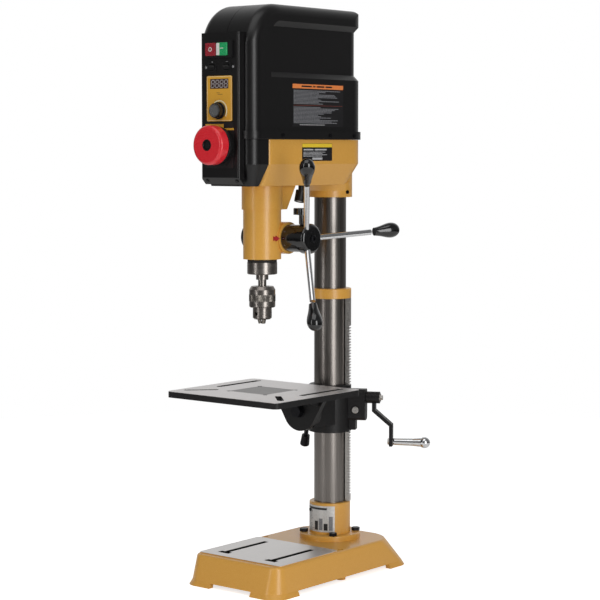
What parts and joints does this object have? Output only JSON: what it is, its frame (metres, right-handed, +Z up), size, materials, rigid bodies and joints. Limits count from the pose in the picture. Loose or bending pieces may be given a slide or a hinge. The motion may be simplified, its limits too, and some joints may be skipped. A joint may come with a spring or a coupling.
{
  "type": "drill press",
  "caption": "Bench drill press on a round column, with a geared crank table that lifts, swings and tilts, a sprung quill fed by three spoked handles and a keyed chuck.",
  "frame": {"origin": "on the bench plane, midway between the two bench-bolt holes of the base", "axes": "+Z up along the column, -Y towards the front (the control box), +X towards the feed handles"},
  "size_m": [0.3509, 0.5297, 1.221],
  "materials": {
    "painted_iron": "satin yellow enamel on cast iron",
    "ground_steel": "ground steel",
    "bright_steel": "turned and polished steel",
    "chrome": "bright chrome plate",
    "black_iron": "satin black enamel on cast iron",
    "table_iron": "ground top, black painted edges",
    "insert_steel": "dull steel plate",
    "black_steel": "black oxide",
    "black_plastic": "moulded, fine grain",
    "gloss_black": "polished phenolic",
    "yellow_plate": "printed plate",
    "red_plastic": "moulded",
    "green_plastic": "moulded",
    "display": "dark window",
    "silver_plastic": "silver-faced knob",
    "motor_aluminium": "cast aluminium",
    "rubber": "black rubber",
    "circuit": "circuit board",
    "spring_steel": "blued spring steel"
  },
  "bodies": {
    "stand": {"base": "painted_iron", "column": "ground_steel", "column_flange": "painted_iron", "flange_bolts": "black_steel", "set_screws": "black_steel", "rack_ring": "painted_iron", "head_casting": "painted_iron", "head_cover": "black_plastic", "cover_screws": "black_steel", "front_shell": "black_plastic", "control_box": "black_plastic", "panel_plates": "yellow_plate", "speed_display": "display", "switch_frames": "black_plastic", "estop_base": "black_plastic", "circuit_board": "circuit", "motor_plate": "black_iron", "motor": "motor_aluminium", "drive_belt": "rubber", "sleeve_bearings": "bright_steel", "spring_cap": "black_steel", "return_spring": "spring_steel", "lamp_pods": "black_plastic", "cable_gland": "black_plastic", "quill_bumper": "rubber"},
    "rack": {"rack": "bright_steel"},
    "bracket": {"table_bracket": "black_iron", "gear_axle": "bright_steel", "tilt_bolt": "black_steel"},
    "lock_lever": {"table_lock_lever": "black_steel"},
    "lift_gear": {"lift_gear": "bright_steel"},
    "crank": {"worm_shaft": "bright_steel", "crank_arm": "black_iron", "crank_screws": "bright_steel"},
    "grip": {"crank_grip": "chrome"},
    "table": {"table": "table_iron", "table_insert": "insert_steel"},
    "quill": {"quill": "bright_steel", "quill_bearings": "bright_steel"},
    "spindle": {"spindle": "bright_steel", "chuck_body": "bright_steel"},
    "chuck_sleeve": {"chuck_sleeve": "bright_steel"},
    "jaw_1": {"chuck_jaw_1": "bright_steel"},
    "jaw_2": {"chuck_jaw_2": "bright_steel"},
    "jaw_3": {"chuck_jaw_3": "bright_steel"},
    "feed": {"feed_shaft": "bright_steel", "feed_hub": "black_plastic", "feed_spokes": "chrome", "feed_knobs": "gloss_black", "hub_screw": "black_steel"},
    "depth_dial": {"depth_dial": "black_plastic"},
    "depth_lock": {"depth_lock_knob": "black_plastic"},
    "spindle_pulley": {"spindle_pulley": "bright_steel"},
    "motor_pulley": {"motor_pulley": "bright_steel"},
    "estop": {"estop_button": "red_plastic"},
    "stop_button": {"stop_button": "red_plastic"},
    "start_button": {"start_button": "green_plastic"},
    "laser_switch": {"laser_switch": "black_plastic"},
    "lamp_switch": {"lamp_switch": "black_plastic"},
    "speed_knob": {"speed_knob": "silver_plastic"}
  },
  "joints": [
    {"name": "rack_swing", "type": "hinge", "parent": "stand", "child": "rack", "pos_m": [0, 0.095, 0.35], "axis": [0, 0, 1], "range_deg": [-180, 180]},
    {"name": "table_lift", "type": "slide", "parent": "rack", "child": "bracket", "axis": [0, 0, 1], "range_m": [-0.15, 0.13]},
    {"name": "lock_lever_turn", "type": "hinge", "parent": "bracket", "child": "lock_lever", "pos_m": [-0.05023, 0.124, 0.355], "axis": [-0.5, -0.866, 0], "range_deg": [-60, 0]},
    {"name": "lift_gear_turn", "type": "hinge", "parent": "bracket", "child": "lift_gear", "pos_m": [0.05271, 0.12303, 0.352], "axis": [0.4695, -0.8829, 0], "continuous": true},
    {"name": "crank_turn", "type": "hinge", "parent": "bracket", "child": "crank", "pos_m": [0.08829, 0.14195, 0.3785], "axis": [0.8829, 0.4695, 0], "continuous": true},
    {"name": "grip_spin", "type": "hinge", "parent": "crank", "child": "grip", "pos_m": [0.15893, 0.1795, 0.2815], "axis": [0.8829, 0.4695, 0], "continuous": true},
    {"name": "table_tilt", "type": "hinge", "parent": "bracket", "child": "table", "pos_m": [0, -0.02, 0.358], "axis": [0, 1, 0], "range_deg": [-45, 45]},
    {"name": "quill_feed", "type": "slide", "parent": "stand", "child": "quill", "axis": [0, 0, -1], "range_m": [0, 0.11], "stiffness_N_per_m": 150, "springref_m": -0.35},
    {"name": "spindle_spin", "type": "hinge", "parent": "quill", "child": "spindle", "pos_m": [0, -0.136, 0.65], "axis": [0, 0, 1], "continuous": true},
    {"name": "chuck_sleeve_turn", "type": "hinge", "parent": "spindle", "child": "chuck_sleeve", "pos_m": [0, -0.136, 0.61], "axis": [0, 0, 1], "range_deg": [0, 5400]},
    {"name": "jaw_1_slide", "type": "slide", "parent": "spindle", "child": "jaw_1", "axis": [0, 0.2588, 0.9659], "range_m": [0, 0.03]},
    {"name": "jaw_2_slide", "type": "slide", "parent": "spindle", "child": "jaw_2", "axis": [-0.2241, -0.1294, 0.9659], "range_m": [0, 0.03]},
    {"name": "jaw_3_slide", "type": "slide", "parent": "spindle", "child": "jaw_3", "axis": [0.2241, -0.1294, 0.9659], "range_m": [0, 0.03]},
    {"name": "feed_turn", "type": "hinge", "parent": "stand", "child": "feed", "pos_m": [0.05, -0.09942, 0.738], "axis": [1, 0, 0], "range_deg": [-20, 560]},
    {"name": "depth_dial_set", "type": "hinge", "parent": "feed", "child": "depth_dial", "pos_m": [0.064, -0.09942, 0.738], "axis": [1, 0, 0], "range_deg": [-180, 180]},
    {"name": "depth_lock_turn", "type": "hinge", "parent": "depth_dial", "child": "depth_lock", "pos_m": [0.077, -0.09942, 0.78], "axis": [0, 0, 1], "range_deg": [-90, 90]},
    {"name": "spindle_pulley_spin", "type": "hinge", "parent": "stand", "child": "spindle_pulley", "pos_m": [0, -0.136, 1.1], "axis": [0, 0, 1], "continuous": true},
    {"name": "motor_pulley_spin", "type": "hinge", "parent": "stand", "child": "motor_pulley", "pos_m": [0, 0.058, 1.1], "axis": [0, 0, 1], "continuous": true},
    {"name": "estop_press", "type": "slide", "parent": "stand", "child": "estop", "axis": [0, 1, 0], "range_m": [0, 0.005], "stiffness_N_per_m": 1500},
    {"name": "stop_press", "type": "slide", "parent": "stand", "child": "stop_button", "axis": [0, 1, 0], "range_m": [0, 0.004], "stiffness_N_per_m": 600},
    {"name": "start_press", "type": "slide", "parent": "stand", "child": "start_button", "axis": [0, 1, 0], "range_m": [0, 0.004], "stiffness_N_per_m": 600},
    {"name": "laser_switch_rock", "type": "hinge", "parent": "stand", "child": "laser_switch", "pos_m": [-0.0195, -0.2669, 1.09], "axis": [1, 0, 0], "range_deg": [-14, 0]},
    {"name": "lamp_switch_rock", "type": "hinge", "parent": "stand", "child": "lamp_switch", "pos_m": [0.0195, -0.2669, 1.09], "axis": [1, 0, 0], "range_deg": [-14, 0]},
    {"name": "speed_knob_turn", "type": "hinge", "parent": "stand", "child": "speed_knob", "pos_m": [0, -0.28, 1.002], "axis": [0, -1, 0], "range_deg": [-150, 150]}
  ],
  "couplings": [
    {"joint": "lift_gear_turn", "follows": "table_lift", "rad_per_m": 62.5},
    {"joint": "crank_turn", "follows": "table_lift", "rad_per_m": 1000},
    {"joint": "feed_turn", "follows": "quill_feed", "rad_per_m": 83.333},
    {"joint": "spindle_pulley_spin", "follows": "spindle_spin", "ratio": 1},
    {"joint": "motor_pulley_spin", "follows": "spindle_spin", "ratio": 2.3},
    {"joint": "jaw_1_slide", "follows": "chuck_sleeve_turn", "m_per_rad": 0.00031831},
    {"joint": "jaw_2_slide", "follows": "chuck_sleeve_turn", "m_per_rad": 0.00031831},
    {"joint": "jaw_3_slide", "follows": "chuck_sleeve_turn", "m_per_rad": 0.00031831}
  ]
}
